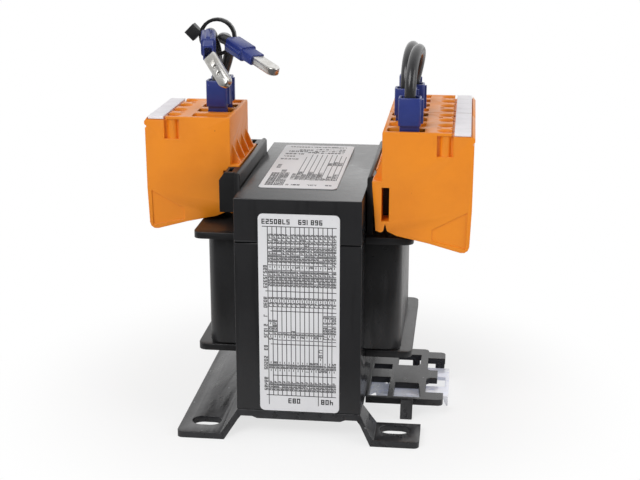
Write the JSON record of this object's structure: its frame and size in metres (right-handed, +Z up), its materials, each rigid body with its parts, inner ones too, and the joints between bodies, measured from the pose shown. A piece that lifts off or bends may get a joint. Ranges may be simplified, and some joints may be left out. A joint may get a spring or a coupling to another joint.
{
  "type": "mains transformer",
  "caption": "Chassis-mount mains transformer on a laminated core, with spring-clamp terminal blocks, plug-in jumpers and a sprung clip for a 35 mm rail.",
  "frame": {"origin": "On the mounting surface, under the middle of the core, at the bottom centre of the part without its free leads", "axes": "+Z up, away from the mounting surface; -Y towards the face with the upright label; +X towards the two side-by-side terminal blocks, square to the lamination planes"},
  "size_m": [0.0992, 0.0872, 0.1197],
  "materials": {
    "lamination": "black impregnating varnish over punched electrical steel, satin",
    "bobbin": "moulded glass-filled polyamide, satin",
    "copper": "enamelled copper wire, glossy",
    "film": "polyester film, satin",
    "wrap": "varnished insulating wrap, satin",
    "frame": "sheet steel dipped in varnish with the core, satin, with small runs",
    "zinc": "bright zinc plating, faintly blue",
    "spring_steel": "drawn spring wire",
    "housing": "moulded orange polyamide, satin",
    "marker": "white marker plastic, satin",
    "plug": "moulded dark blue polyamide, semi-gloss",
    "contact": "tin plate, softly polished",
    "lead": "black PVC insulation, satin",
    "tie": "black nylon, satin",
    "label": "silver-grey printed film"
  },
  "bodies": {
    "transformer": {"core_e_stack": "lamination", "core_i_stack": "lamination", "core_weld_front": "lamination", "core_weld_rear": "lamination", "bobbin": "bobbin", "primary_winding": "copper", "interlayer_insulation": "film", "secondary_winding": "copper", "outer_wrap": "wrap", "base_frame": "frame", "rail_clip_plate": "frame", "clip_rivet_1": "zinc", "clip_rivet_2": "zinc", "latch_spring": "spring_steel", "terminal_block_left": "housing", "terminal_block_right_front": "housing", "terminal_block_right_rear": "housing", "marker_strip_left": "marker", "marker_strip_right_front": "marker", "marker_strip_right_rear": "marker", "clamp_contact_01": "contact", "clamp_contact_02": "contact", "clamp_contact_03": "contact", "clamp_contact_04": "contact", "clamp_contact_05": "contact", "clamp_contact_06": "contact", "clamp_contact_07": "contact", "clamp_contact_08": "contact", "clamp_contact_09": "contact", "clamp_contact_10": "contact", "clamp_contact_11": "contact", "clamp_contact_12": "contact", "jumper_plug_right_1": "plug", "jumper_plug_right_2": "plug", "jumper_plug_right_3": "plug", "jumper_plug_right_4": "plug", "jumper_plug_left_front": "plug", "jumper_plug_left_rear": "plug", "jumper_plug_free_front": "plug", "jumper_plug_free_rear": "plug", "jumper_contact_right_1": "contact", "jumper_contact_right_2": "contact", "jumper_contact_right_3": "contact", "jumper_contact_right_4": "contact", "jumper_contact_left_front": "contact", "jumper_contact_left_rear": "contact", "jumper_contact_free_front": "contact", "jumper_contact_free_rear": "contact", "jumper_lead_right_1": "lead", "jumper_lead_right_2": "lead", "jumper_lead_left_front": "lead", "jumper_lead_left_rear": "lead", "cable_tie": "tie", "front_label": "label", "top_label": "label"},
    "latch": {"rail_latch": "zinc"}
  },
  "joints": [
    {"name": "latch_slide", "type": "slide", "parent": "transformer", "child": "latch", "axis": [1, 0, 0], "range_m": [0, 0.004], "stiffness_N_per_m": 2000, "springref_m": -0.003, "deforming": ["latch_spring"]}
  ]
}
